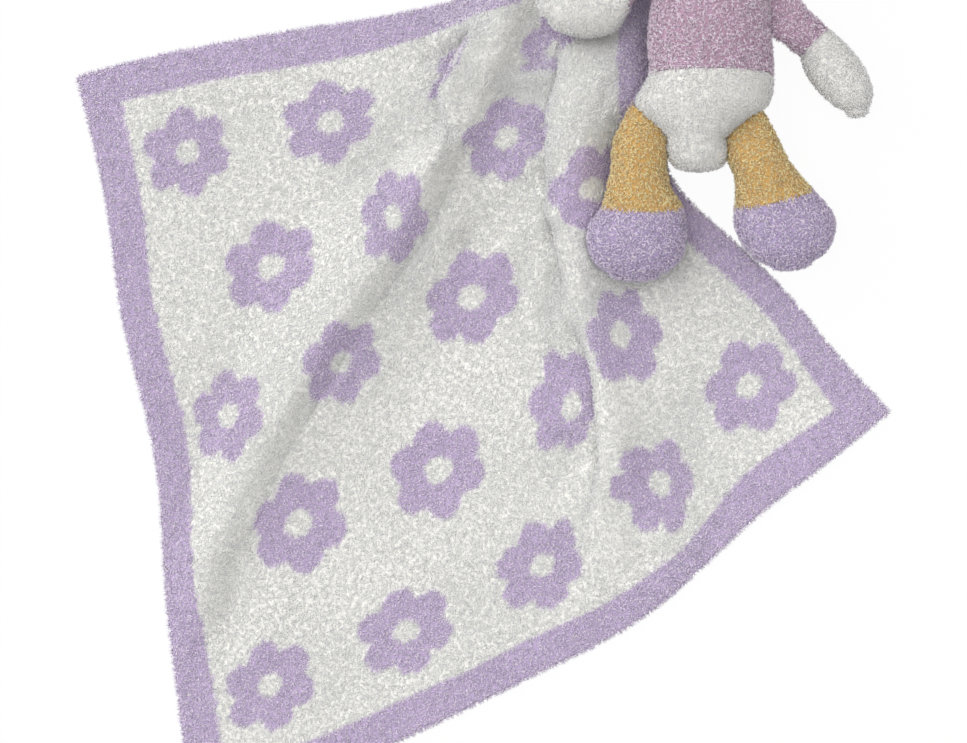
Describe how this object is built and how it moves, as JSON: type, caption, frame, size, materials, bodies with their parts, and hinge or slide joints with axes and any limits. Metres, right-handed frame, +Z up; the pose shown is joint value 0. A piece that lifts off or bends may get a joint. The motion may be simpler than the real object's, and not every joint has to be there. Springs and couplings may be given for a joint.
{
  "type": "comfort blanket lovey",
  "caption": "Plush animal lying on its back, one hand stitched to a small knitted chenille blanket that spreads out in soft folds beside it.",
  "frame": {"origin": "centre of the bounding box's bottom face, on the floor that the blanket and the toy lie on", "axes": "+Z up from the floor, +Y along the toy from feet to head, +X from the blanket towards the toy"},
  "size_m": [0.6302, 0.8022, 0.0996],
  "materials": {
    "blanket_knit": "knitted chenille with short soft tufts, off-white with lavender flowers and a lavender border",
    "cream_plush": "knitted chenille plush with short soft tufts, off-white",
    "pink_knit": "knitted chenille with short soft tufts, dusty pink",
    "golden_plush": "knitted chenille plush with short soft tufts, golden yellow",
    "lavender_plush": "knitted chenille plush with short soft tufts, lavender",
    "dark_thread": "satin stitched embroidery thread, dark brown",
    "tack_thread": "waxed sewing thread, off-white",
    "fibre_fill": "loose white polyester fibre"
  },
  "bodies": {
    "blanket_body": {"blanket": "blanket_knit", "hand_tack": "tack_thread"},
    "toy_body": {"sweater": "pink_knit", "lower_body": "cream_plush", "torso_stuffing": "fibre_fill", "holding_sleeve": "pink_knit", "holding_mitten": "cream_plush", "holding_arm_stuffing": "fibre_fill"},
    "head_body": {"head_cover": "cream_plush", "head_stuffing": "fibre_fill", "left_ear": "cream_plush", "right_ear": "cream_plush", "left_eye": "dark_thread", "right_eye": "dark_thread", "nose": "dark_thread"},
    "free_arm_body": {"free_sleeve": "pink_knit", "free_mitten": "cream_plush", "free_arm_stuffing": "fibre_fill"},
    "over_leg_body": {"over_leg": "golden_plush", "over_foot": "lavender_plush", "over_leg_stuffing": "fibre_fill"},
    "free_leg_body": {"free_leg": "golden_plush", "free_foot": "lavender_plush", "free_leg_stuffing": "fibre_fill"}
  },
  "joints": [
    {"name": "toy_lift", "type": "hinge", "parent": "blanket_body", "child": "toy_body", "pos_m": [0.04821, 0.24149, 0.0122], "axis": [0, -1, 0], "range_deg": [0, 45]},
    {"name": "neck", "type": "hinge", "parent": "toy_body", "child": "head_body", "pos_m": [0.17436, 0.27732, 0.05775], "axis": [1, 0, 0], "range_deg": [0, 20]},
    {"name": "free_shoulder", "type": "hinge", "parent": "toy_body", "child": "free_arm_body", "pos_m": [0.22794, 0.23838, 0.03999], "axis": [0, -1, 0], "range_deg": [0, 60]},
    {"name": "over_hip", "type": "hinge", "parent": "toy_body", "child": "over_leg_body", "pos_m": [0.13931, 0.13968, 0.03999], "axis": [-1, 0, 0], "range_deg": [0, 60]},
    {"name": "free_hip", "type": "hinge", "parent": "toy_body", "child": "free_leg_body", "pos_m": [0.19136, 0.13802, 0.03999], "axis": [-1, 0, 0], "range_deg": [0, 60]}
  ]
}
